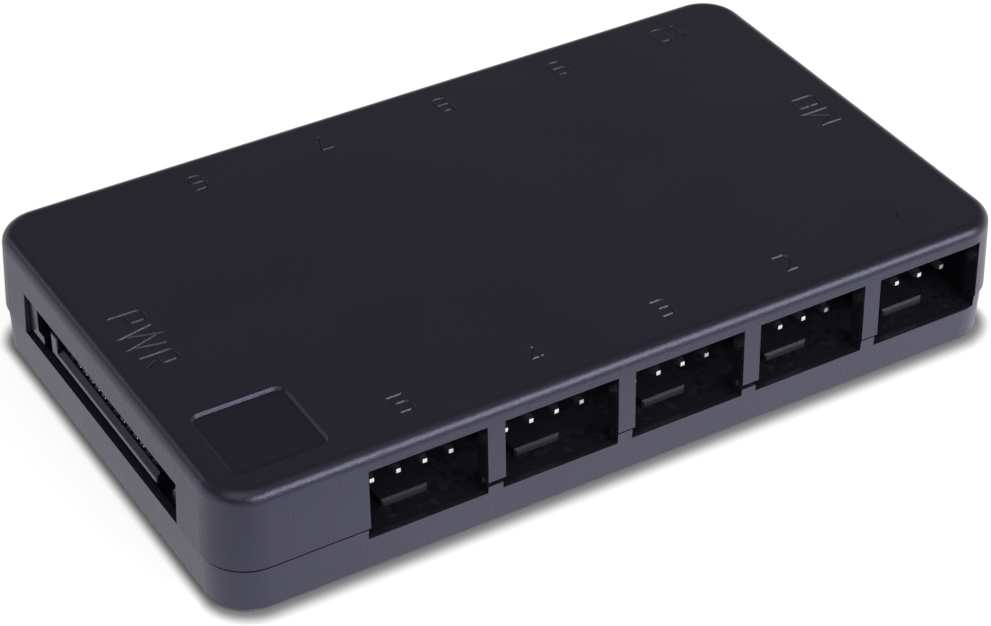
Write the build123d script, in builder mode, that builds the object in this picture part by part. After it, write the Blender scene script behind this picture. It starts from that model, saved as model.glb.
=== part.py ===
from build123d import *
import os

# Fan hub for a computer case: a two-piece moulded case around one circuit board.
# Five fan ports open on the front (-Y) and five on the rear (+Y). The power lead
# plugs into the -X end and the lead from the main board into the +X end.
# Millimetres, +Z up, with the origin at the centre of the underside.

# Fan ports
ports_per_side = 5
port_pitch = 13.0
port_width = 11.3
port_height = 7.17
port_sill = 0.09
port_brow = 1.84
end_post = 3.13
notch_margin = 0.12

# Header pins
pin_count = 4
pin_pitch = 2.54
pin_size = 0.64
pin_height = 3.52
pin_tip_depth = 3.1
pin_reach = 7.0
pin_point = 0.5
pin_taper = 13
pin_bend = 0.7
lead_stub = 0.5
lead_hole_clearance = 0.1

# Header housings
header_height = 6.0
header_thickness = 3.2
header_edge = 0.25
lead_setback = 1.3
tab_width = 4.5
tab_thickness = 0.88
tab_height = 1.05
tab_tip_depth = 2.05
tab_edge = 0.2

# Circuit board and the clear strip along its middle
board_thickness = 1.6
board_clearance = 0.1
middle_strip = 17.8

# Case shells
wall = 1.7
roof = 1.4
floor = 1.0
lead_room = 0.8
corner_radius = 4.3
top_edge_radius = 1.15
base_edge = 0.3
cover_lean = 2.3
tray_lean = 2.1
seam_height = 1.1
seam_gap = 0.32
seam_step = 0.2
rim = 0.75
lip_clearance = 0.1
ledge = 1.1
prise_depth = 0.35
prise_posts = (1, 3)

# Power slot and power socket
power_shift = 0.3
slot_length = 30.5
slot_height = 4.58
socket_setback = 0.5
socket_width = 29.9
socket_height = 5.1
socket_thickness = 4.0
tongue_reach = 6.3
tongue_margin = 1.19
tongue_thickness = 1.0
tongue_height = 2.2
tongue_lead = 0.45
tongue_edge = 0.1
hook_width = 1.2
hook_height = 1.2
arm_thickness = 1.6
arm_height = 3.25
arm_foot = 2.75
foot_thickness = 0.8
arm_lift = 1.85
post_width = 2.55
post_height = 1.85
post_lift = 1.3
post_setback = 1.1
post_rounding = 0.85
peg_radius = 0.7
peg_length = 1.3
peg_spacing = 24.0
peg_clearance = 0.1

# Power contacts
contact_count = 15
contact_pitch = 1.27
contact_width = 0.84
contact_thickness = 0.25
contact_inset = 0.6
contact_bend = 0.4
contact_drop = 0.5
tail_length = 1.6
row_gap = 1.17

# Case screws
screw_radius = 1.0
screw_head_radius = 1.9
screw_length = 7.0
screw_sink = 0.1
screw_point = 0.5
countersink_angle = 90
screw_clearance = 0.05
screw_cross_width = 0.45
screw_cross_depth = 0.5
boss_radius = 2.2
screw_pad_margin = 0.7
screw_end_margin = 6.0
screw_side_gap = 0.95
screw_lead_gap = 1.5

# Parts soldered on the middle strip
fuse_size = (4.6, 3.2, 1.7)
can_radius = 3.15
can_height = 5.0
can_edge = 0.5
can_base_side = 6.6
can_base_height = 0.9
can_base_corner = 0.9
chip_length = 8.7
chip_width = 3.9
chip_height = 1.5
chip_standoff = 0.15
chip_lead_count = 7
chip_lead_pitch = 1.27
chip_lead_width = 0.42
chip_lead_thickness = 0.2
chip_lead_reach = 1.05
chip_foot = 0.55
chip_lead_bend = 0.2
chip_edge = 0.2
resistor_size = (0.8, 1.6, 0.45)
resistor_count = 6
capacitor_size = (1.25, 2.0, 0.9)
capacitor_count = 4
small_part_spacing = 2.4
small_part_offset = 5.4
part_gap = 3.0

# Engraved labels and the shallow square recess
digit_height = 2.2
digit_gap = 0.75
power_letter_height = 3.05
board_letter_height = 2.6
letter_gap = 1.0
stroke_width = 0.32
label_depth = 0.12
groove_slope = 40
label_inset = 4.65
end_label_inset = 4.7
glyph_corner = 0.42
badge_side = 8.85
badge_corner = 1.0
badge_depth = 0.25
badge_end_inset = 7.5
badge_side_inset = 7.6

# Heights and places worked out from the sizes above
board_bottom = floor + lead_room
board_top = board_bottom + board_thickness
sill_z = board_top + port_sill
port_top = sill_z + port_height
case_height = port_top + port_brow
ceiling = case_height - roof
rim_top = board_top + seam_height
cover_edge = rim_top + seam_gap
slot_top = rim_top + slot_height
cut_reach = 2 * wall

lead_depth = pin_tip_depth + pin_reach + header_thickness + lead_setback
lead_hole_radius = pin_size / 2**0.5 + lead_hole_clearance
header_front = pin_tip_depth + pin_reach
header_width = pin_count * pin_pitch
pin_places = [(i - (pin_count - 1) / 2) * pin_pitch for i in range(pin_count)]
case_width = 2 * lead_depth + middle_strip

socket_front = socket_setback + tongue_reach
socket_back = socket_front + socket_thickness
socket_depth = socket_back + tail_length
contact_places = [(i - (contact_count - 1) / 2) * contact_pitch for i in range(contact_count)]
tongue_width = (contact_count - 1) * contact_pitch + contact_width + 2 * tongue_margin
row_length = (ports_per_side - 1) * port_pitch + port_width
case_length = socket_depth + row_gap + row_length + end_post

end_x = case_length / 2
side_y = case_width / 2
last_port_x = end_x - end_post - port_width / 2
port_xs = [last_port_x - i * port_pitch for i in range(ports_per_side)]
prise_xs = [port_xs[i] - port_pitch / 2 for i in prise_posts]

board_inset = seam_step + rim + board_clearance
corner_screw_x = -end_x + screw_end_margin
corner_screw_y = slot_length / 2 + screw_side_gap + boss_radius
middle_screw_x = end_x - lead_depth - screw_lead_gap - boss_radius
screw_places = [
    (corner_screw_x, -corner_screw_y),
    (corner_screw_x, corner_screw_y),
    (middle_screw_x, 0),
]

# Places along the middle strip, counted from the power end
strip_start = -end_x + socket_depth
fuse_x = strip_start + part_gap + fuse_size[0] / 2
can_x = fuse_x + fuse_size[0] / 2 + part_gap + can_base_side / 2
chip_x = can_x + can_base_side / 2 + part_gap + chip_length / 2

# Planes that look in through each opening: x along the wall, y inwards, z up
front_planes = [Plane((x, -side_y, board_top), x_dir=(1, 0, 0), z_dir=(0, 0, 1)) for x in port_xs]
rear_planes = [Plane((x, side_y, board_top), x_dir=(-1, 0, 0), z_dir=(0, 0, 1)) for x in port_xs]
fan_planes = front_planes + rear_planes[::-1]
board_port_plane = Plane((end_x, 0, board_top), x_dir=(0, 1, 0), z_dir=(0, 0, 1))
power_plane = Plane((-end_x, power_shift, board_top), x_dir=(0, -1, 0), z_dir=(0, 0, 1))
power_side = Plane(power_plane.origin, x_dir=power_plane.y_dir, z_dir=power_plane.x_dir)
header_planes = fan_planes + [board_port_plane]
lead_places = [plane.from_local_coords((u, lead_depth, 0)) for plane in header_planes for u in pin_places]
peg_depth = (socket_front + socket_back) / 2
peg_us = (-peg_spacing / 2, peg_spacing / 2)
peg_places = [power_plane.from_local_coords((u, peg_depth, 0)) for u in peg_us]

# Each character: its width for a height of one, round or sharp corners, and its strokes on a unit grid
glyphs = {
    "0": (0.61, True, [[(0, 0), (1, 0), (1, 1), (0, 1), (0, 0)]]),
    "1": (0.61, False, [[(0.15, 0.75), (0.6, 1), (0.6, 0)]]),
    "2": (0.61, False, [[(0, 1), (0.8, 1), (1, 0.85), (1, 0.62), (0, 0), (1, 0)]]),
    "3": (0.61, True, [[(0, 1), (1, 1), (1, 0), (0, 0)], [(0.2, 0.5), (1, 0.5)]]),
    "4": (0.61, False, [[(0.7, 1), (0, 0.3), (1, 0.3)], [(0.7, 0), (0.7, 1)]]),
    "5": (0.61, True, [[(1, 1), (-0.12, 1)], [(0, 1), (0, 0.55), (1, 0.55), (1, 0), (0, 0)]]),
    "6": (0.61, True, [[(1, 1), (0, 1), (0, 0), (1, 0), (1, 0.5), (0.4, 0.5)], [(0, 0.5), (0.5, 0.5)]]),
    "7": (0.61, False, [[(0, 1), (1, 1), (0.4, 0)]]),
    "8": (0.61, True, [[(0, 0), (1, 0), (1, 1), (0, 1), (0, 0)], [(0, 0.5), (1, 0.5)]]),
    "9": (0.61, True, [[(0, 0), (1, 0), (1, 1), (0, 1), (0, 0.5), (0.6, 0.5)], [(0.5, 0.5), (1, 0.5)]]),
    "P": (0.475, True, [[(0, 0), (0, 1), (1, 1), (1, 0.45), (0.4, 0.45)], [(0, 0.45), (0.5, 0.45)]]),
    "W": (0.96, False, [[(0, 1), (0.2, 0), (0.5, 1), (0.8, 0), (1, 1)]]),
    "R": (
        0.475,
        True,
        [[(0, 0), (0, 1), (1, 1), (1, 0.45), (0.4, 0.45)], [(0, 0.45), (0.5, 0.45)], [(0.45, 0.45), (1, 0)]],
    ),
    "M": (0.885, False, [[(0, 0), (0, 1), (0.5, 0.3), (1, 1), (1, 0)]]),
    "B": (0.6, True, [[(0, 0), (0, 1), (1, 1), (1, 0), (0, 0)], [(0, 0.5), (1, 0.5)]]),
}


def case_outline(inset, mode=Mode.ADD):
    """Draw the plan outline of the case, drawn in by an inset."""
    RectangleRounded(
        case_length - 2 * inset,
        case_width - 2 * inset,
        corner_radius - inset,
        mode=mode,
    )


def opening(width):
    """Draw the plan of a cut that goes through the wall from well outside it."""
    Rectangle(width, 2 * cut_reach)


def label(text, plane, height, gap):
    """Cut a line of characters into the top face, as grooves with sloping walls."""
    widths = [glyphs[character][0] * height for character in text]
    left = -(sum(widths) + (len(text) - 1) * gap) / 2
    with BuildSketch(plane) as sketch:
        for character, width in zip(text, widths):
            proportion, rounded, strokes = glyphs[character]
            for points in strokes:
                placed = [(left + x * width, (y - 0.5) * height) for x, y in points]
                with BuildLine():
                    if not rounded or len(placed) == 2:
                        Polyline(*placed)
                    elif placed[0] == placed[-1]:
                        FilletPolyline(*placed[:-1], radius=glyph_corner, close=True)
                    else:
                        FilletPolyline(*placed, radius=glyph_corner)
                trace(line_width=stroke_width)
            left += width + gap
    extrude(sketch.sketch, amount=-label_depth, taper=groove_slope, mode=Mode.SUBTRACT)


def top_plane(x, y, x_dir):
    """Return a plane on the top face whose text runs along a direction."""
    return Plane((x, y, case_height), x_dir=x_dir, z_dir=(0, 0, 1))


def save(piece, name):
    """Name a finished piece and write it."""
    piece.part.label = name
    export_step(piece.part, f"parts/{name}.step")


os.makedirs("parts", exist_ok=True)

# Top cover
with BuildPart() as top_cover:
    with BuildSketch(Plane.XY.offset(cover_edge)):
        case_outline(0)
    extrude(amount=case_height - cover_edge, taper=cover_lean)
    fillet(top_cover.faces().sort_by(Axis.Z)[-1].edges(), radius=top_edge_radius)
    with BuildSketch(Plane.XY.offset(cover_edge)):
        case_outline(wall)
    extrude(amount=ceiling - cover_edge, taper=cover_lean, mode=Mode.SUBTRACT)
    # A lip drops inside the tray's rim and holds the board down
    with BuildSketch(Plane.XY.offset(board_top)):
        case_outline(seam_step + rim + lip_clearance)
        case_outline(wall, mode=Mode.SUBTRACT)
    extrude(amount=cover_edge - board_top)
    # Screw bosses from the roof down to the board
    with BuildSketch(Plane.XY.offset(board_top)):
        with Locations(*screw_places):
            Circle(boss_radius)
    extrude(amount=ceiling - board_top)
    with BuildSketch(Plane.XY.offset(board_top)):
        with Locations(*screw_places):
            Circle(screw_radius + screw_clearance)
    extrude(amount=screw_sink + screw_length - board_top + screw_clearance, mode=Mode.SUBTRACT)
    # Windows for the fan ports and the board port
    with BuildSketch(*header_planes):
        opening(port_width)
    extrude(amount=port_top - board_top, mode=Mode.SUBTRACT)
    with BuildSketch(power_plane):
        opening(slot_length)
    extrude(amount=slot_top - board_top, mode=Mode.SUBTRACT)
    # Port numbers, end labels and the square recess
    for number, plane in enumerate(fan_planes, start=1):
        spot = plane.from_local_coords((0, label_inset, 0))
        label(str(number), top_plane(spot.X, spot.Y, plane.x_dir), digit_height, digit_gap)
    end_labels = (("PWR", power_plane, power_letter_height), ("MB", board_port_plane, board_letter_height))
    for text, plane, height in end_labels:
        spot = plane.from_local_coords((0, end_label_inset, 0))
        label(text, top_plane(spot.X, 0, plane.x_dir), height, letter_gap)
    with BuildSketch(Plane.XY.offset(case_height)):
        with Locations((-end_x + badge_end_inset, -side_y + badge_side_inset)):
            RectangleRounded(badge_side, badge_side, badge_corner)
    extrude(amount=-badge_depth, taper=groove_slope, mode=Mode.SUBTRACT)
save(top_cover, "top_cover")

# Bottom tray
with BuildPart() as bottom_tray:
    with BuildSketch(Plane.XY.offset(rim_top)):
        case_outline(seam_step)
    extrude(amount=-rim_top, taper=tray_lean)
    chamfer(bottom_tray.faces().sort_by(Axis.Z)[0].edges(), length=base_edge)
    # The board drops inside the rim and rests on a ledge, with room below for leads
    with BuildSketch(Plane.XY.offset(board_bottom)):
        case_outline(seam_step + rim)
    extrude(amount=rim_top - board_bottom, mode=Mode.SUBTRACT)
    with BuildSketch(Plane.XY.offset(floor)):
        case_outline(seam_step + rim + ledge)
    extrude(amount=lead_room, mode=Mode.SUBTRACT)
    # Pads that carry the board round the screws
    with BuildSketch(Plane.XY.offset(floor)):
        with Locations(*screw_places):
            Circle(boss_radius + screw_pad_margin)
    extrude(amount=lead_room)
    screw_planes = [Location((x, y, 0), (180, 0, 0)) for x, y in screw_places]
    with Locations(*screw_planes):
        CounterSinkHole(
            radius=screw_radius + screw_clearance,
            counter_sink_radius=screw_head_radius + screw_sink + screw_clearance,
            counter_sink_angle=countersink_angle,
            depth=board_bottom,
        )
    # Notches under the windows
    with BuildSketch(*[plane.offset(port_sill) for plane in header_planes]):
        opening(port_width + 2 * notch_margin)
    extrude(amount=rim_top - sill_z, mode=Mode.SUBTRACT)
    # Prising notches in the rim, on some of the posts between ports
    with BuildSketch(Plane.XY.offset(rim_top - prise_depth)):
        with Locations(*[(x, y) for x in prise_xs for y in (-side_y, side_y)]):
            opening(port_pitch - port_width)
    extrude(amount=prise_depth, mode=Mode.SUBTRACT)
save(bottom_tray, "bottom_tray")

# Circuit board
with BuildPart() as circuit_board:
    with BuildSketch(Plane.XY.offset(board_bottom)):
        case_outline(board_inset)
        with Locations(*screw_places):
            Circle(screw_radius + screw_clearance, mode=Mode.SUBTRACT)
        with Locations(*[(spot.X, spot.Y) for spot in lead_places]):
            Circle(lead_hole_radius, mode=Mode.SUBTRACT)
        with Locations(*[(spot.X, spot.Y) for spot in peg_places]):
            Circle(peg_radius + peg_clearance, mode=Mode.SUBTRACT)
    extrude(amount=board_thickness)
save(circuit_board, "circuit_board")


def header_housing(plane, name):
    """Build one header housing with its polarising tab."""
    with BuildPart(plane) as housing:
        with Locations((0, header_front, 0)):
            Box(header_width, header_thickness, header_height, align=(Align.CENTER, Align.MIN, Align.MIN))
        chamfer(housing.edges().filter_by(Axis.Z), length=header_edge)
        with Locations((-pin_pitch / 2, tab_tip_depth, tab_height)):
            tab_length = header_front - tab_tip_depth
            Box(tab_width, tab_length, tab_thickness, align=(Align.CENTER, Align.MIN, Align.MIN))
        inward = Axis(plane.origin, plane.y_dir)
        chamfer(housing.faces().sort_by(inward)[0].edges(), length=tab_edge)
        with Locations(*[(u, header_front, pin_height) for u in pin_places]):
            hole = (pin_size, header_thickness, pin_size)
            Box(*hole, align=(Align.CENTER, Align.MIN, Align.CENTER), mode=Mode.SUBTRACT)
    save(housing, name)


def header_pins(plane, name):
    """Build the four right-angle pins of one header."""
    side = Plane(plane.origin, x_dir=plane.y_dir, z_dir=plane.x_dir)
    with BuildPart() as pins:
        with BuildSketch(*[side.offset(u) for u in pin_places]):
            with BuildLine():
                FilletPolyline(
                    (pin_tip_depth + pin_point, pin_height),
                    (lead_depth, pin_height),
                    (lead_depth, -board_thickness - lead_stub),
                    radius=pin_bend,
                )
            trace(line_width=pin_size)
        extrude(amount=pin_size / 2, both=True)
        point_start = plane.from_local_coords((0, pin_tip_depth + pin_point, pin_height))
        with BuildSketch(Plane(point_start, x_dir=plane.x_dir, z_dir=-plane.y_dir)):
            with Locations(*[(u, 0) for u in pin_places]):
                Rectangle(pin_size, pin_size)
        extrude(amount=pin_point, taper=pin_taper)
    save(pins, name)


# Fan headers and the board header
for number, plane in enumerate(fan_planes, start=1):
    header_housing(plane, f"fan_header_{number}")
    header_pins(plane, f"fan_header_pins_{number}")
header_housing(board_port_plane, "board_header")
header_pins(board_port_plane, "board_header_pins")

# Power socket
with BuildPart(power_plane) as power_socket:
    base = (Align.CENTER, Align.MIN, Align.MIN)
    with Locations((0, socket_front, 0)):
        Box(socket_width, socket_thickness, socket_height, align=base)
    with Locations((0, socket_setback, tongue_height)):
        Box(tongue_width, tongue_reach, tongue_thickness, align=base)
    # Hook at the rear end of the tongue
    tongue_top = tongue_height + tongue_thickness
    with Locations((-tongue_width / 2, socket_setback, tongue_top)):
        Box(hook_width, tongue_reach, hook_height, align=(Align.MIN, Align.MIN, Align.MIN))
    inward = Axis(power_plane.origin, power_plane.y_dir)
    chamfer(power_socket.faces().sort_by(inward)[0].edges(), length=tongue_edge)
    # Lead-in slope along the front edge of the tongue
    with BuildSketch(power_side.offset(hook_width - tongue_width / 2)):
        with BuildLine():
            Polyline(
                (socket_setback, tongue_top),
                (socket_setback + tongue_lead, tongue_top),
                (socket_setback, tongue_top - tongue_lead),
                close=True,
            )
        make_face()
    extrude(amount=tongue_width - hook_width, mode=Mode.SUBTRACT)
    # Guide arms beside the tongue: an angle at the rear end, a rounded post at the other
    with Locations((-socket_width / 2, socket_setback, arm_lift)):
        Box(arm_thickness, tongue_reach, arm_height, align=(Align.MIN, Align.MIN, Align.MIN))
        Box(arm_foot, tongue_reach, foot_thickness, align=(Align.MIN, Align.MIN, Align.MIN))
    post_plane = Plane(power_plane.origin, x_dir=power_plane.x_dir, z_dir=power_plane.y_dir)
    with BuildSketch(post_plane.offset(post_setback)):
        with Locations((socket_width / 2 - post_width / 2, -post_lift - post_height / 2)):
            RectangleRounded(post_width, post_height, post_rounding)
    extrude(amount=tongue_reach)
    # Grooves for the contacts
    groove_height = tongue_top - contact_thickness
    with Locations(*[(u, socket_setback + contact_inset, groove_height) for u in contact_places]):
        Box(
            contact_width,
            socket_back - socket_setback - contact_inset,
            contact_thickness,
            align=base,
            mode=Mode.SUBTRACT,
        )
    # Pegs that locate the socket on the board
    with Locations(*[(u, peg_depth, 0) for u in peg_us]):
        Cylinder(peg_radius, peg_length, align=(Align.CENTER, Align.CENTER, Align.MAX))
save(power_socket, "power_socket")

# Power contacts, from the tongue through the socket and down to the board
with BuildPart() as power_contacts:
    contact_line = groove_height + contact_thickness / 2
    with BuildSketch(*[power_side.offset(u) for u in contact_places]):
        with BuildLine():
            FilletPolyline(
                (socket_setback + contact_inset, contact_line),
                (socket_back + contact_drop, contact_line),
                (socket_back + contact_drop, contact_thickness / 2),
                (socket_depth, contact_thickness / 2),
                radius=contact_bend,
            )
        trace(line_width=contact_thickness)
    extrude(amount=contact_width / 2, both=True)
save(power_contacts, "power_contacts")

# Input fuse
with BuildPart(Plane.XY.offset(board_top)) as input_fuse:
    with Locations((fuse_x, 0)):
        Box(*fuse_size, align=(Align.CENTER, Align.CENTER, Align.MIN))
save(input_fuse, "input_fuse")

# Input capacitor
with BuildPart(Plane.XY.offset(board_top)) as capacitor_base:
    with Locations((can_x, 0)):
        Box(can_base_side, can_base_side, can_base_height, align=(Align.CENTER, Align.CENTER, Align.MIN))
    chamfer(capacitor_base.edges().filter_by(Axis.Z).group_by(Axis.X)[-1], length=can_base_corner)
save(capacitor_base, "input_capacitor_base")

with BuildPart(Plane.XY.offset(board_top + can_base_height)) as capacitor_can:
    with Locations((can_x, 0)):
        Cylinder(can_radius, can_height, align=(Align.CENTER, Align.CENTER, Align.MIN))
    fillet(capacitor_can.faces().sort_by(Axis.Z)[-1].edges(), radius=can_edge)
save(capacitor_can, "input_capacitor_can")

# Signal buffer chip
with BuildPart(Plane.XY.offset(board_top + chip_standoff)) as chip_body:
    with Locations((chip_x, 0)):
        Box(chip_length, chip_width, chip_height, align=(Align.CENTER, Align.CENTER, Align.MIN))
    chamfer(chip_body.faces().sort_by(Axis.Z)[-1].edges(), length=chip_edge)
save(chip_body, "buffer_chip_body")

with BuildPart() as chip_leads:
    lead_line = chip_standoff + chip_height / 2
    for turn in (1, -1):
        edge = Plane((chip_x, turn * chip_width / 2, board_top), x_dir=(0, turn, 0), z_dir=(turn, 0, 0))
        spots = [(i - (chip_lead_count - 1) / 2) * chip_lead_pitch for i in range(chip_lead_count)]
        with BuildSketch(*[edge.offset(u) for u in spots]):
            with BuildLine():
                FilletPolyline(
                    (0, lead_line),
                    (chip_lead_reach - chip_foot, lead_line),
                    (chip_lead_reach - chip_foot, chip_lead_thickness / 2),
                    (chip_lead_reach, chip_lead_thickness / 2),
                    radius=chip_lead_bend,
                )
            trace(line_width=chip_lead_thickness)
        extrude(amount=chip_lead_width / 2, both=True)
save(chip_leads, "buffer_chip_leads")

# Chip resistors and chip capacitors, in a row on each side of the chip
with BuildPart(Plane.XY.offset(board_top)) as chip_resistors:
    with Locations((chip_x, small_part_offset)):
        with GridLocations(small_part_spacing, 0, resistor_count, 1):
            Box(*resistor_size, align=(Align.CENTER, Align.CENTER, Align.MIN))
save(chip_resistors, "chip_resistors")

with BuildPart(Plane.XY.offset(board_top)) as chip_capacitors:
    with Locations((chip_x, -small_part_offset)):
        with GridLocations(small_part_spacing, 0, capacitor_count, 1):
            Box(*capacitor_size, align=(Align.CENTER, Align.CENTER, Align.MIN))
save(chip_capacitors, "chip_capacitors")

# Countersunk case screws, driven from below
with BuildPart(Plane.XY.offset(screw_sink)) as case_screws:
    head_height = screw_head_radius - screw_radius
    with Locations(*screw_places):
        Cone(screw_head_radius, screw_radius, head_height, align=(Align.CENTER, Align.CENTER, Align.MIN))
        Cylinder(screw_radius, screw_length, align=(Align.CENTER, Align.CENTER, Align.MIN))
    chamfer(case_screws.faces().group_by(Axis.Z)[-1].edges(), length=screw_point)
    with Locations(*screw_places):
        cross = (2 * screw_radius, screw_cross_width, screw_cross_depth)
        for angle in (0, 90):
            Box(
                *cross,
                rotation=(0, 0, angle),
                align=(Align.CENTER, Align.CENTER, Align.MIN),
                mode=Mode.SUBTRACT,
            )
save(case_screws, "case_screws")
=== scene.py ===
import math

import bpy
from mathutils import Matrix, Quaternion, Vector


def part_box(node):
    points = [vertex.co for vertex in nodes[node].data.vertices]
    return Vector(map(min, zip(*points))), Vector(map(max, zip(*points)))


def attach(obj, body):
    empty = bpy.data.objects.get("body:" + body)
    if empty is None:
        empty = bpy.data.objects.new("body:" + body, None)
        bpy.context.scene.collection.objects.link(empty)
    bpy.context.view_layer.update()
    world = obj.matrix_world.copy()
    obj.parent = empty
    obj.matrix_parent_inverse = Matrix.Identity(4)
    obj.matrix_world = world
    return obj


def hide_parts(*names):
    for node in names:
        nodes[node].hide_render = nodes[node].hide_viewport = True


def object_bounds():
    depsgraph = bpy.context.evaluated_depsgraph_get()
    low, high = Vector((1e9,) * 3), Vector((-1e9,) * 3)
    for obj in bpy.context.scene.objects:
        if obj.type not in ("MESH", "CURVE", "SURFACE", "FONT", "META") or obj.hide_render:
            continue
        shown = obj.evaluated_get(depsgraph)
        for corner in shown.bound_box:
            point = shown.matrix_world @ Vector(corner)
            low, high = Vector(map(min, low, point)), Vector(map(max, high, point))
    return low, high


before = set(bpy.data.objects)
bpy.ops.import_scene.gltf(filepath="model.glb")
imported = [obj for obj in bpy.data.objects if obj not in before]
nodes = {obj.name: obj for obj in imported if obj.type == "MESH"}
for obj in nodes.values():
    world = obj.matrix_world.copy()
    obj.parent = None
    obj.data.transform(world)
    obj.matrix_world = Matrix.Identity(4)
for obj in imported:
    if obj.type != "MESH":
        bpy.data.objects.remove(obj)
cad_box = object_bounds()

# Fan hub: dark moulded case, black headers with tinned pins, plated power contacts.
# Metres, in the frame of the solids: +X towards the board port, -Y the front ports, +Z up.

MM = 0.001
fan_ports = range(1, 11)
header_names = [f"fan_header_{n}" for n in fan_ports] + ["board_header"]
pin_names = [f"fan_header_pins_{n}" for n in fan_ports] + ["board_header_pins"]

case_low, case_high = cad_box
board_low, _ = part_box("circuit_board")
contact_low, contact_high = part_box("power_contacts")


class Wire:
    """One output of a node; arithmetic on it adds the maths nodes."""

    def __init__(self, graph, socket):
        self.graph = graph
        self.socket = socket

    def maths(self, operation, first, second=0.0):
        return self.graph.add(self.graph.maths_kind, {"operation": operation}, {0: first, 1: second})

    def __add__(self, other):
        return self.maths("ADD", self, other)

    __radd__ = __add__

    def __sub__(self, other):
        return self.maths("SUBTRACT", self, other)

    def __rsub__(self, other):
        return self.maths("SUBTRACT", other, self)

    def __mul__(self, other):
        return self.maths("MULTIPLY", self, other)

    __rmul__ = __mul__

    def __truediv__(self, other):
        return self.maths("DIVIDE", self, other)

    def __rtruediv__(self, other):
        return self.maths("DIVIDE", other, self)

    def __gt__(self, other):
        return self.maths("GREATER_THAN", self, other)

    def __lt__(self, other):
        return self.maths("LESS_THAN", self, other)

    def __pow__(self, other):
        return self.maths("POWER", self, other)

    def __abs__(self):
        return self.maths("ABSOLUTE", self)

    def least(self, other):
        return self.maths("MINIMUM", self, other)

    def most(self, other):
        return self.maths("MAXIMUM", self, other)


class Graph:
    """A tree of nodes that is filled from expressions."""

    maths_kind = "ShaderNodeMath"

    def __init__(self, tree):
        self.tree = tree

    def add(self, kind, settings=None, inputs=None, output=0):
        """Add a node: its settings first, then the values or links of its sockets."""
        node = self.tree.nodes.new(kind)
        for name, value in (settings or {}).items():
            if name == "stops":
                self.set_stops(node.color_ramp, value)
            else:
                setattr(node, name, value)
        for key, value in (inputs or {}).items():
            self.feed(node.inputs[key], value)
        return Wire(self, node.outputs[output]) if node.outputs else node

    def feed(self, socket, value):
        """Set a socket to a value or link a wire to it."""
        if isinstance(value, Wire):
            self.tree.links.new(value.socket, socket)
        else:
            socket.default_value = value

    def set_stops(self, ramp, stops):
        while len(ramp.elements) < len(stops):
            ramp.elements.new(1.0)
        for element, (position, shade) in zip(ramp.elements, stops):
            element.position = position
            element.color = (shade, shade, shade, 1.0)

    def axes(self, vector):
        """Split a vector into its three values."""
        first = self.add("ShaderNodeSeparateXYZ", inputs={0: vector})
        return [Wire(self, socket) for socket in first.socket.node.outputs]

    def stretched(self, vector, scale):
        """Scale a vector along each axis."""
        return self.add("ShaderNodeVectorMath", {"operation": "MULTIPLY"}, {0: vector, 1: scale})

    def mottle(self, vector, size, detail=2.0, roughness=0.5):
        """Cloudy noise from 0 to 1 whose patches are about one size across."""
        values = {"Vector": vector, "Scale": 1.0 / size, "Detail": detail, "Roughness": roughness}
        return self.add("ShaderNodeTexNoise", inputs=values)

    def ramp(self, value, stops):
        return self.add("ShaderNodeValToRGB", {"stops": stops}, {0: value})

    def blend(self, amount, first, second):
        """Mix two colours."""
        return self.add("ShaderNodeMix", {"data_type": "RGBA"}, {0: amount, 6: first, 7: second}, output=2)

    def between(self, value, low, high):
        """1 where a value lies between two limits, and 0 elsewhere."""
        return (value > low) * (value < high)

    def ring(self, x, y, centre, inner, outer):
        """1 in a flat ring round a centre."""
        dx, dy = x - centre[0], y - centre[1]
        return self.between((dx * dx + dy * dy) ** 0.5, inner, outer)


class Finish(Graph):
    """A material with one shader, read in the object's own coordinates."""

    def __init__(self, name, fixed):
        self.material = bpy.data.materials.new(name)
        self.material.use_nodes = True
        super().__init__(self.material.node_tree)
        self.shader = self.tree.nodes["Principled BSDF"]
        for socket, value in fixed.items():
            self.feed(self.shader.inputs[socket], value)
        self.place = self.add("ShaderNodeTexCoord", output="Object")
        self.x, self.y, self.z = self.axes(self.place)
        self.facing = self.add("ShaderNodeNewGeometry", output="Normal")
        self.facing_up = self.axes(self.facing)[2]

    def surface(self, colour=None, roughness=None, metallic=None, height=None, depth=0.0):
        """Link what changes over the surface."""
        for socket, value in (("Base Color", colour), ("Roughness", roughness), ("Metallic", metallic)):
            if value is not None:
                self.feed(self.shader.inputs[socket], value)
        if height is not None:
            values = {"Height": height, "Distance": depth, "Strength": 1.0}
            self.feed(self.shader.inputs["Normal"], self.add("ShaderNodeBump", inputs=values))
        return self.material


def rgb(red, green, blue):
    return (red, green, blue, 1.0)


# Case plastic: satin, blue-black, with a fine spark-eroded grain and faint draw lines on the walls; faces
# inside the case are painted a little darker as shade
badge_centre = (case_low.x + 7.5 * MM, case_low.y + 7.6 * MM)
badge_half = 4.43 * MM
badge_floor = case_high.z - 0.25 * MM
badge_band = 0.05 * MM
ceiling = case_high.z - 1.3 * MM
skin = 0.5 * MM


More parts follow.
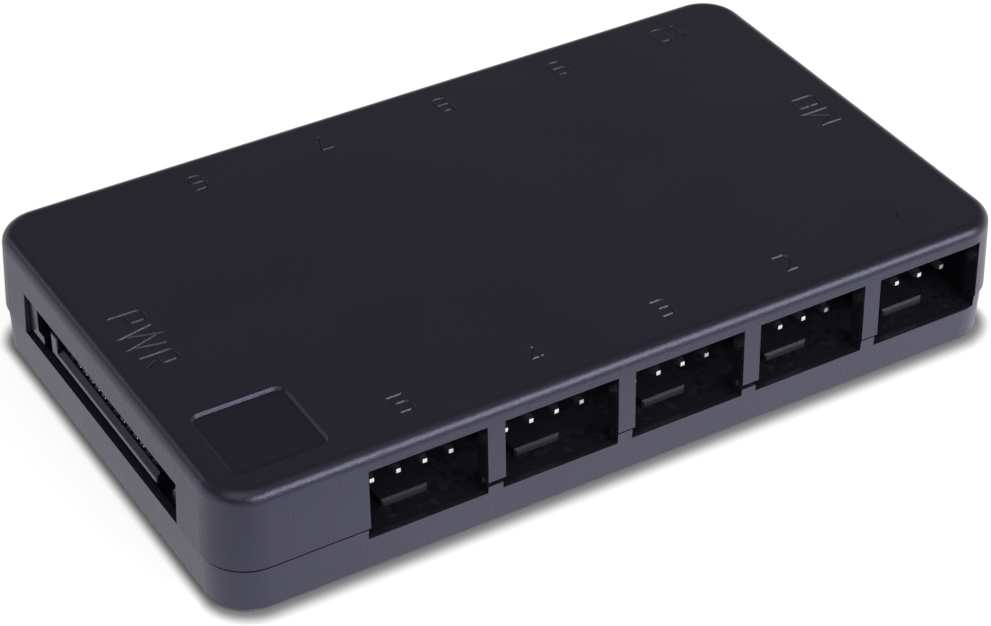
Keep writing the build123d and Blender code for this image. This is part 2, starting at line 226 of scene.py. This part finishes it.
def case_plastic_finish():
    finish = Finish("case_plastic", {"Specular IOR Level": 1.0, "Specular Tint": rgb(0.73, 0.715, 1.0)})
    grain = finish.mottle(finish.place, 0.22 * MM, detail=2.0)
    fleck = finish.mottle(finish.place, 0.5 * MM, detail=2.0)
    flow = finish.mottle(finish.place, 14 * MM, detail=3.0, roughness=0.6)
    wall = 1 - abs(finish.facing_up)
    draw = finish.mottle(finish.stretched(finish.place, (1.0, 1.0, 0.05)), 0.22 * MM)
    badge = finish.between(finish.x, badge_centre[0] - badge_half, badge_centre[0] + badge_half)
    badge = badge * finish.between(finish.y, badge_centre[1] - badge_half, badge_centre[1] + badge_half)
    badge = badge * finish.between(finish.z, badge_floor - badge_band, badge_floor + badge_band)
    inside = (abs(finish.x) < case_high.x - 6 * skin) * (abs(finish.y) < case_high.y - skin)
    inside = inside * (finish.z < ceiling)
    tone = flow * 0.6 + fleck * 0.25 + draw * wall * 0.15
    colour = finish.blend(tone, rgb(0.0120, 0.0115, 0.0180), rgb(0.0168, 0.0161, 0.0250))
    # Painted shade: faces within the outline of the walls and below the roof (the inner faces, the window
    # reveals, and also the underside) are blended a little towards black
    colour = finish.blend(inside * 0.15, colour, rgb(0.003, 0.003, 0.004))
    roughness = (0.29 + fleck * 0.08 + flow * 0.05 - badge * 0.06) * (1 - inside * 0.30)
    height = grain * (1 - badge * 0.6) * (0.25 + wall * 0.9) + fleck * 0.1 + draw * wall * 0.25
    return finish.surface(colour, roughness, height=height, depth=0.036 * MM)


# Header nylon: blacker than the case, slightly glassy, with a short-fibre speckle
def header_plastic_finish():
    finish = Finish("header_plastic", {"Specular IOR Level": 0.42, "Specular Tint": rgb(0.88, 0.87, 1.0)})
    speck = finish.mottle(finish.place, 0.12 * MM, detail=2.0)
    cloud = finish.mottle(finish.place, 2.5 * MM)
    colour = finish.blend(speck * 0.5 + cloud * 0.5, rgb(0.009, 0.009, 0.012), rgb(0.016, 0.0155, 0.021))
    return finish.surface(colour, 0.20 + speck * 0.12, height=speck, depth=0.006 * MM)


# Socket plastic: smooth black, a little bluer and glossier than the headers
def socket_plastic_finish():
    finish = Finish("socket_plastic", {"Specular IOR Level": 0.95, "Specular Tint": rgb(0.72, 0.71, 1.0)})
    speck = finish.mottle(finish.place, 0.1 * MM, detail=2.0)
    cloud = finish.mottle(finish.place, 3 * MM)
    colour = finish.blend(speck * 0.4 + cloud * 0.6, rgb(0.006, 0.006, 0.010), rgb(0.011, 0.011, 0.018))
    return finish.surface(colour, 0.22 + cloud * 0.08, height=speck, depth=0.004 * MM)


# Tinned pins: bright, with drawn lines along the wire and a duller bloom
def pin_metal_finish():
    finish = Finish("pin_metal", {"Metallic": 1.0})
    bloom = finish.mottle(finish.place, 0.35 * MM, detail=3.0)
    drawn = finish.mottle(finish.stretched(finish.place, (1.0, 0.08, 1.0)), 0.05 * MM)
    colour = finish.blend(bloom, rgb(0.86, 0.855, 0.84), rgb(0.96, 0.955, 0.95))
    return finish.surface(colour, 0.24 + bloom * 0.12, height=drawn, depth=0.0015 * MM)


# Plated contacts: bright plate only at the crest of the listed contacts, which glint; elsewhere a nearly
# black plate that is painted shade
contact_count, contact_pitch, contact_half = 15, 1.27 * MM, 0.42 * MM
# The contacts whose crest keeps the bright plate, so that only these glint
glinting_contacts = (2, 3, 4, 5, 6, 9, 11, 12)
crest_start, crest_end = 0.12 * MM, 0.48 * MM


def contact_metal_finish():
    finish = Finish("contact_metal", {"Metallic": 1.0})
    rub = finish.mottle(finish.stretched(finish.place, (0.25, 1.0, 1.0)), 0.12 * MM, detail=3.0)
    glint_crest = 0.0
    for number in glinting_contacts:
        middle = contact_low.y + contact_half + (contact_count - 1 - number) * contact_pitch
        glint_crest = finish.between(finish.y, middle - contact_half, middle + contact_half) + glint_crest
    glint_crest = glint_crest * finish.between(finish.x, contact_low.x + crest_start, contact_low.x + crest_end)
    # Painted shade: away from those crests the plate is nearly black
    painted_shade_plate = finish.blend(rub, rgb(0.050, 0.048, 0.058), rgb(0.085, 0.080, 0.092))
    plate = finish.blend(rub, rgb(0.80, 0.77, 0.70), rgb(0.95, 0.93, 0.88))
    colour = finish.blend(glint_crest, painted_shade_plate, plate)
    roughness = 0.34 + rub * 0.08 - glint_crest * 0.24
    return finish.surface(colour, roughness, height=rub, depth=0.001 * MM)


# Circuit board: dark solder mask over copper tracks, bare laminate at the edges
def board_finish():
    finish = Finish("board", {"Specular IOR Level": 0.5})
    flat = abs(finish.facing_up) > 0.5
    lane = finish.add(
        "ShaderNodeTexWave",
        {"wave_type": "BANDS", "bands_direction": "Y"},
        {"Vector": finish.place, "Scale": 42.0, "Distortion": 3.0, "Detail": 0.0, "Detail Scale": 30.0},
        output="Fac",
    )
    track = (lane > 0.62) * flat
    weave = finish.mottle(finish.place, 0.25 * MM, detail=2.0)
    mask = finish.blend(track, rgb(0.012, 0.0115, 0.016), rgb(0.020, 0.019, 0.026))
    laminate = finish.blend(weave, rgb(0.030, 0.028, 0.020), rgb(0.070, 0.062, 0.040))
    colour = finish.blend(flat, laminate, mask)
    roughness = 0.55 - flat * 0.27 + weave * 0.10
    return finish.surface(colour, roughness, height=track * 0.8 + weave * 0.2, depth=0.02 * MM)


# Solder: soft grey, smooth with a frosted skin
def solder_finish():
    finish = Finish("solder", {"Metallic": 1.0})
    frost = finish.mottle(finish.place, 0.2 * MM, detail=3.0)
    colour = finish.blend(frost, rgb(0.50, 0.50, 0.51), rgb(0.68, 0.68, 0.69))
    return finish.surface(colour, 0.26 + frost * 0.2, height=frost, depth=0.004 * MM)


# Chip plastic: matt black, with a plain dimple at the corner of the first lead
def chip_plastic_finish():
    finish = Finish("chip_plastic", {"Specular IOR Level": 0.4})
    low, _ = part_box("buffer_chip_body")
    speck = finish.mottle(finish.place, 0.08 * MM, detail=2.0)
    dot = finish.ring(finish.x, finish.y, (low.x + 0.9 * MM, low.y + 0.9 * MM), -1.0, 0.35 * MM)
    dot = dot * (finish.facing_up > 0.9)
    colour = finish.blend(speck, rgb(0.012, 0.012, 0.012), rgb(0.024, 0.024, 0.024))
    return finish.surface(colour, 0.62 - dot * 0.25, height=speck * 0.2 - dot, depth=0.03 * MM)


def end_caps(along, centre, half_body):
    """1 on the metal ends of a row of small parts, measured along one axis from their centre line."""
    return abs(along - centre) > half_body


def tinned(finish, speck):
    """The colour of the metal ends."""
    return finish.blend(speck, rgb(0.55, 0.55, 0.55), rgb(0.72, 0.72, 0.71))


# Chip resistors: black glaze between tinned ends
def resistor_finish():
    low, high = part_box("chip_resistors")
    finish = Finish("resistor", {"Specular IOR Level": 0.5})
    speck = finish.mottle(finish.place, 0.1 * MM, detail=2.0)
    ends = end_caps(finish.y, (low.y + high.y) / 2, 0.5 * MM)
    glaze = finish.blend(speck, rgb(0.010, 0.010, 0.011), rgb(0.020, 0.020, 0.022))
    tin = tinned(finish, speck)
    return finish.surface(finish.blend(ends, glaze, tin), 0.28 + speck * 0.14, ends)


# Chip capacitors: tan ceramic between tinned ends
def capacitor_finish():
    low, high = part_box("chip_capacitors")
    finish = Finish("capacitor_body", {"Specular IOR Level": 0.5})
    speck = finish.mottle(finish.place, 0.12 * MM, detail=3.0)
    ends = end_caps(finish.y, (low.y + high.y) / 2, 0.62 * MM)
    ceramic = finish.blend(speck, rgb(0.26, 0.17, 0.09), rgb(0.36, 0.25, 0.14))
    tin = tinned(finish, speck)
    return finish.surface(finish.blend(ends, ceramic, tin), 0.34 + speck * 0.16, ends)


# Input fuse: pale green block between tinned ends
def fuse_finish():
    low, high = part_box("input_fuse")
    finish = Finish("fuse_body", {"Specular IOR Level": 0.45})
    speck = finish.mottle(finish.place, 0.2 * MM, detail=3.0)
    ends = end_caps(finish.x, (low.x + high.x) / 2, 1.6 * MM)
    block = finish.blend(speck, rgb(0.10, 0.17, 0.11), rgb(0.15, 0.23, 0.15))
    tin = tinned(finish, speck)
    return finish.surface(finish.blend(ends, block, tin), 0.42 + speck * 0.16, ends)


# Capacitor can: brushed aluminium sleeve with a dark sector on top for the negative lead
def can_metal_finish():
    low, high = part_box("input_capacitor_can")
    middle = (low + high) / 2
    finish = Finish("can_metal", {})
    ring_lines = finish.mottle(finish.stretched(finish.place, (0.15, 0.15, 1.0)), 0.08 * MM)
    bloom = finish.mottle(finish.place, 1.2 * MM, detail=3.0)
    sector = (finish.x - middle.x < -1.7 * MM) * (finish.facing_up > 0.9)
    metal = finish.blend(bloom, rgb(0.60, 0.60, 0.61), rgb(0.78, 0.78, 0.78))
    colour = finish.blend(sector, metal, rgb(0.02, 0.02, 0.022))
    return finish.surface(colour, 0.24 + bloom * 0.14 + sector * 0.2, 1 - sector, ring_lines, 0.002 * MM)


# Case screws: dark zinc with a dull bloom
def screw_steel_finish():
    finish = Finish("screw_steel", {"Metallic": 1.0})
    bloom = finish.mottle(finish.place, 0.5 * MM, detail=4.0, roughness=0.65)
    colour = finish.blend(bloom, rgb(0.10, 0.10, 0.11), rgb(0.22, 0.22, 0.23))
    return finish.surface(colour, 0.30 + bloom * 0.2, height=bloom, depth=0.006 * MM)


def dress(material, *names):
    """Give solids their finish."""
    for name in names:
        mesh = nodes[name].data
        mesh.materials.clear()
        mesh.materials.append(material)


case_plastic = case_plastic_finish()
header_plastic = header_plastic_finish()
pin_metal = pin_metal_finish()
contact_metal = contact_metal_finish()
solder = solder_finish()
screw_steel = screw_steel_finish()
dress(case_plastic, "top_cover", "bottom_tray")
dress(board_finish(), "circuit_board")
dress(header_plastic, *header_names, "input_capacitor_base")
dress(pin_metal, *pin_names, "buffer_chip_leads")
dress(socket_plastic_finish(), "power_socket")
dress(contact_metal, "power_contacts")
dress(fuse_finish(), "input_fuse")
dress(can_metal_finish(), "input_capacitor_can")
dress(chip_plastic_finish(), "buffer_chip_body")
dress(resistor_finish(), "chip_resistors")
dress(capacitor_finish(), "chip_capacitors")
dress(screw_steel, "case_screws")


class Recipe(Graph):
    """A geometry tree with named sizes, run once to make a plain mesh."""

    def __init__(self, name, sizes):
        super().__init__(bpy.data.node_groups.new(name, "GeometryNodeTree"))
        face = self.tree.interface
        face.new_socket("Places", in_out="INPUT", socket_type="NodeSocketGeometry")
        self.sizes = sizes
        for size in sizes:
            face.new_socket(size, in_out="INPUT", socket_type="NodeSocketFloat")
        face.new_socket("Geometry", in_out="OUTPUT", socket_type="NodeSocketGeometry")
        given = self.tree.nodes.new("NodeGroupInput")
        self.given = {socket.name: Wire(self, socket) for socket in given.outputs if socket.name}

    def copies(self, shape):
        """Set one copy of a shape on every place."""
        points = self.add("GeometryNodeMeshToPoints", inputs={0: self.given["Places"]})
        return self.add("GeometryNodeInstanceOnPoints", inputs={"Points": points, "Instance": shape})

    def result(self, shape, material):
        whole = self.add("GeometryNodeRealizeInstances", inputs={0: shape})
        painted = self.add("GeometryNodeSetMaterial", inputs={"Geometry": whole, "Material": material})
        self.add("NodeGroupOutput", inputs={0: painted})

    def make(self, name, places):
        """Run the tree on a set of places and return the mesh object, its four-sided faces smooth."""
        start = bpy.data.meshes.new(name)
        start.from_pydata(places, [], [])
        piece = bpy.data.objects.new(name, start)
        bpy.context.scene.collection.objects.link(piece)
        step = piece.modifiers.new(name, "NODES")
        step.node_group = self.tree
        for item in self.tree.interface.items_tree:
            if item.in_out == "INPUT" and item.name in self.sizes:
                step[item.identifier] = self.sizes[item.name]
        graph = bpy.context.evaluated_depsgraph_get()
        piece.data = bpy.data.meshes.new_from_object(piece.evaluated_get(graph))
        piece.modifiers.clear()
        for polygon in piece.data.polygons:
            polygon.use_smooth = len(polygon.vertices) == 4
        return piece


def keep(piece, slot, *stands_for):
    """Fix a finished piece to the hub."""
    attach(piece, "root")
    if stands_for:
        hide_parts(*stands_for)


# Solder on every header lead below the board: a hollow-sided cone from the pad to the lead
pin_count, pin_pitch = 4, 2.54 * MM
lead_half = 0.32 * MM


def lead_places():
    """Where each header lead leaves the underside of the board."""
    places = []
    for name in pin_names:
        low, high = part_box(name)
        middle = (low + high) / 2
        along_x = high.x - low.x < high.y - low.y
        inward = -1 if (middle.y if along_x else middle.x) > 0 else 1
        for i in range(pin_count):
            shift = (i - (pin_count - 1) / 2) * pin_pitch
            if along_x:
                edge = high.y if inward > 0 else low.y
                places.append((middle.x + shift, edge - inward * lead_half, board_low.z))
            else:
                edge = high.x if inward > 0 else low.x
                places.append((edge - inward * lead_half, middle.y + shift, board_low.z))
    return places


def solder_joints():
    sizes = {"Pad radius": 0.85 * MM, "Lead radius": 0.40 * MM, "Height": 0.40 * MM, "Hollow": 0.35}
    recipe = Recipe("solder_joints", sizes)
    given = recipe.given
    settings = {"fill_type": "NGON"}
    values = {
        "Vertices": 14,
        "Side Segments": 5,
        "Radius Top": given["Lead radius"],
        "Radius Bottom": given["Pad radius"],
        "Depth": given["Height"],
    }
    cone = recipe.add("GeometryNodeMeshCone", settings, values)
    place = recipe.add("GeometryNodeInputPosition")
    rise = recipe.axes(place)[2] / given["Height"]
    draw_in = 1 - given["Hollow"] * 4 * rise * (1 - rise)
    scale = recipe.add("ShaderNodeCombineXYZ", inputs={0: draw_in, 1: draw_in, 2: 1.0})
    drawn = recipe.stretched(place, scale)
    hollow = recipe.add("GeometryNodeSetPosition", inputs={"Geometry": cone, "Position": drawn})
    hung = recipe.add("GeometryNodeTransform", inputs={"Geometry": hollow, "Rotation": (math.pi, 0.0, 0.0)})
    recipe.result(recipe.copies(hung), solder)
    return recipe.make("solder_joints", lead_places())


keep(solder_joints(), "pin_metal")


# Power contacts: crowned springs that rise to a bow behind the tip, run back and drop to the board
def power_springs():
    low, high = contact_low, contact_high
    half_thick, tail = 0.125 * MM, 1.1 * MM
    sizes = {
        "Run": high.x - tail - low.x,
        "Drop": high.z - low.z - 2 * half_thick,
        "Tail": tail,
        "Half width": contact_half,
        "Half thickness": half_thick,
        "Bow height": 0.13 * MM,
        "Bow reach": 0.60 * MM,
    }
    recipe = Recipe("power_springs", sizes)
    given = recipe.given
    length = given["Run"] + given["Drop"] + given["Tail"]
    end = recipe.add("ShaderNodeCombineXYZ", inputs={0: length})
    line = recipe.add("GeometryNodeCurvePrimitiveLine", inputs={"End": end})
    line = recipe.add("GeometryNodeResampleCurve", inputs={"Curve": line, "Count": 160})
    along = recipe.axes(recipe.add("GeometryNodeInputPosition"))[0]
    bow = (along / given["Bow reach"]).least(1.0)
    rise = given["Bow height"] * 16 * bow * bow * (1 - bow) * (1 - bow)
    fall = (along - given["Run"]).most(0.0).least(given["Drop"])
    forward = along.least(given["Run"]) + (along - given["Run"] - given["Drop"]).most(0.0)
    place = recipe.add("ShaderNodeCombineXYZ", inputs={0: forward, 2: rise - fall})
    path = recipe.add("GeometryNodeSetPosition", inputs={"Geometry": line, "Position": place})
    round_wire = recipe.add("GeometryNodeCurvePrimitiveCircle", inputs={"Resolution": 16, "Radius": 1.0})
    sides = {0: given["Half width"], 1: given["Half thickness"], 2: 1.0}
    flat = recipe.add("ShaderNodeCombineXYZ", inputs=sides)
    section = recipe.add("GeometryNodeTransform", inputs={"Geometry": round_wire, "Scale": flat})
    sweep = {"Curve": path, "Profile Curve": section, "Fill Caps": True}
    spring = recipe.add("GeometryNodeCurveToMesh", inputs=sweep)
    recipe.result(recipe.copies(spring), contact_metal)
    first = low.y + contact_half
    places = [(low.x, first + i * contact_pitch, high.z - half_thick) for i in range(contact_count)]
    return recipe.make("power_springs", places)


keep(power_springs(), "contact_metal", "power_contacts")


# Stage: white floor with a painted contact shadow round the case, white surround for what the camera and
# shiny surfaces see, soft lamps
def floor_finish():
    material = bpy.data.materials.new("floor_white")
    material.use_nodes = True
    graph = Graph(material.node_tree)
    graph.tree.nodes.clear()
    matt = graph.add("ShaderNodeBsdfDiffuse", inputs={"Color": rgb(0.32, 0.32, 0.32)})
    camera, mirrored = seen_directly(graph)
    x, y = graph.axes(graph.add("ShaderNodeTexCoord", output="Object"))[:2]
    round_off = 4 * MM
    beyond_x = (abs(x) - (case_high.x - round_off)).most(0.0)
    beyond_y = (abs(y) - (case_high.y - round_off)).most(0.0)
    gap = (beyond_x * beyond_x + beyond_y * beyond_y) ** 0.5 - round_off
    along_side = beyond_y / (beyond_x + beyond_y + 0.01 * MM)
    start = along_side * 0.1 * MM - 0.4 * MM
    reach = 0.9 * MM + along_side * 0.8 * MM
    # Painted shadow: the floor's glow for the camera fades out close to the case, over a wide band along
    # the front and rear and a thin one at the ends, so the dark matt floor shows there as a contact shadow
    clear = graph.add(
        "ShaderNodeMapRange",
        {"interpolation_type": "SMOOTHSTEP"},
        {"Value": gap, "From Min": start, "From Max": reach},
    )
    # The floor's glow that shiny surfaces show is dimmer towards the left end and far in front, and a
    # little blue
    shine = graph.add(
        "ShaderNodeMapRange",
        inputs={"Value": x, "From Min": -46 * MM, "From Max": -20 * MM, "To Min": 0.56, "To Max": 0.97},
    )
    ahead = graph.add(
        "ShaderNodeMapRange",
        {"interpolation_type": "SMOOTHSTEP"},
        {"Value": y, "From Min": -66 * MM, "From Max": -32 * MM, "To Min": 0.02, "To Max": 1.0},
    )
    tint = graph.blend(mirrored, rgb(1.0, 1.0, 1.0), rgb(0.93, 0.92, 1.0))
    strength = camera * clear * 0.80 + mirrored * shine * ahead
    glow = graph.add("ShaderNodeEmission", inputs={"Color": tint, "Strength": strength})
    both = graph.add("ShaderNodeAddShader", inputs={0: matt, 1: glow})
    graph.add("ShaderNodeOutputMaterial", inputs={"Surface": both})
    return material


def seen_directly(graph):
    """1 for what the camera sees, and 1 for what shiny and clear surfaces show."""
    first = graph.add("ShaderNodeLightPath")
    rays = first.socket.node.outputs
    glossy = Wire(graph, rays["Is Glossy Ray"])
    return Wire(graph, rays["Is Camera Ray"]), glossy.most(Wire(graph, rays["Is Transmission Ray"]))


def make_floor():
    reach = 4.0
    mesh = bpy.data.meshes.new("floor")
    corners = [(-reach, -reach, 0), (reach, -reach, 0), (reach, reach, 0), (-reach, reach, 0)]
    mesh.from_pydata(corners, [], [(0, 1, 2, 3)])
    mesh.materials.append(floor_finish())
    floor = bpy.data.objects.new("floor", mesh)
    bpy.context.scene.collection.objects.link(floor)


def make_world():
    world = bpy.data.worlds.new("studio")
    world.use_nodes = True
    bpy.context.scene.world = world
    graph = Graph(world.node_tree)
    graph.tree.nodes.clear()
    camera, glossy = seen_directly(graph)
    y, height = graph.axes(graph.add("ShaderNodeTexCoord", output="Generated"))[1:]
    behind = graph.add(
        "ShaderNodeMapRange",
        inputs={"Value": y, "From Min": -0.5, "From Max": 0.3, "To Min": 0.02, "To Max": 1.0},
    )
    mirrored = graph.ramp(height, [(0.0, 1.0), (0.10, 0.80), (0.40, 0.04), (1.0, 0.04)]) * behind
    room = graph.blend(glossy, rgb(0.50, 0.50, 0.50), mirrored)
    shown = graph.blend(camera, room, rgb(1.0, 1.0, 1.0))
    back = graph.add("ShaderNodeBackground", inputs={"Color": shown, "Strength": 1.0})
    graph.add("ShaderNodeOutputWorld", inputs={"Surface": back})


def softbox(name, place, width, height, watts):
    lamp = bpy.data.lights.new(name, "AREA")
    lamp.shape = "RECTANGLE"
    lamp.size = width
    lamp.size_y = height
    lamp.energy = watts
    holder = bpy.data.objects.new(name, lamp)
    holder.location = place
    holder.rotation_mode = "QUATERNION"
    holder.rotation_quaternion = (-Vector(place)).to_track_quat("-Z", "Y")
    bpy.context.scene.collection.objects.link(holder)


def make_camera():
    eye = Vector((-0.112245, -0.183111, 0.161850))
    target = Vector((-0.003103, -0.004667, 0.006000))
    data = bpy.data.cameras.new("photo_camera")
    data.sensor_fit = "HORIZONTAL"
    data.sensor_width = 36.0
    data.lens = 105.417
    data.clip_start = 0.01
    data.clip_end = 50.0
    camera = bpy.data.objects.new("photo_camera", data)
    camera.location = eye
    camera.rotation_mode = "QUATERNION"
    tilt = Quaternion((0.0, 0.0, 1.0), math.radians(0.513))
    camera.rotation_quaternion = (target - eye).to_track_quat("-Z", "Y") @ tilt
    bpy.context.scene.collection.objects.link(camera)
    bpy.context.scene.camera = camera


make_floor()
make_world()
softbox("key_softbox", (0.19, -0.515, 0.245), width=0.66, height=0.28, watts=2.7)
softbox("fill_softbox", (-0.45, -0.35, 0.60), width=0.5, height=0.5, watts=0.6)
softbox("top_softbox", (-0.15, -0.25, 0.90), width=0.8, height=0.8, watts=1.0)
softbox("rear_softbox", (-0.36, 0.58, 0.42), width=0.12, height=0.12, watts=0.14)
make_camera()
bpy.context.scene.view_settings.view_transform = "Standard"
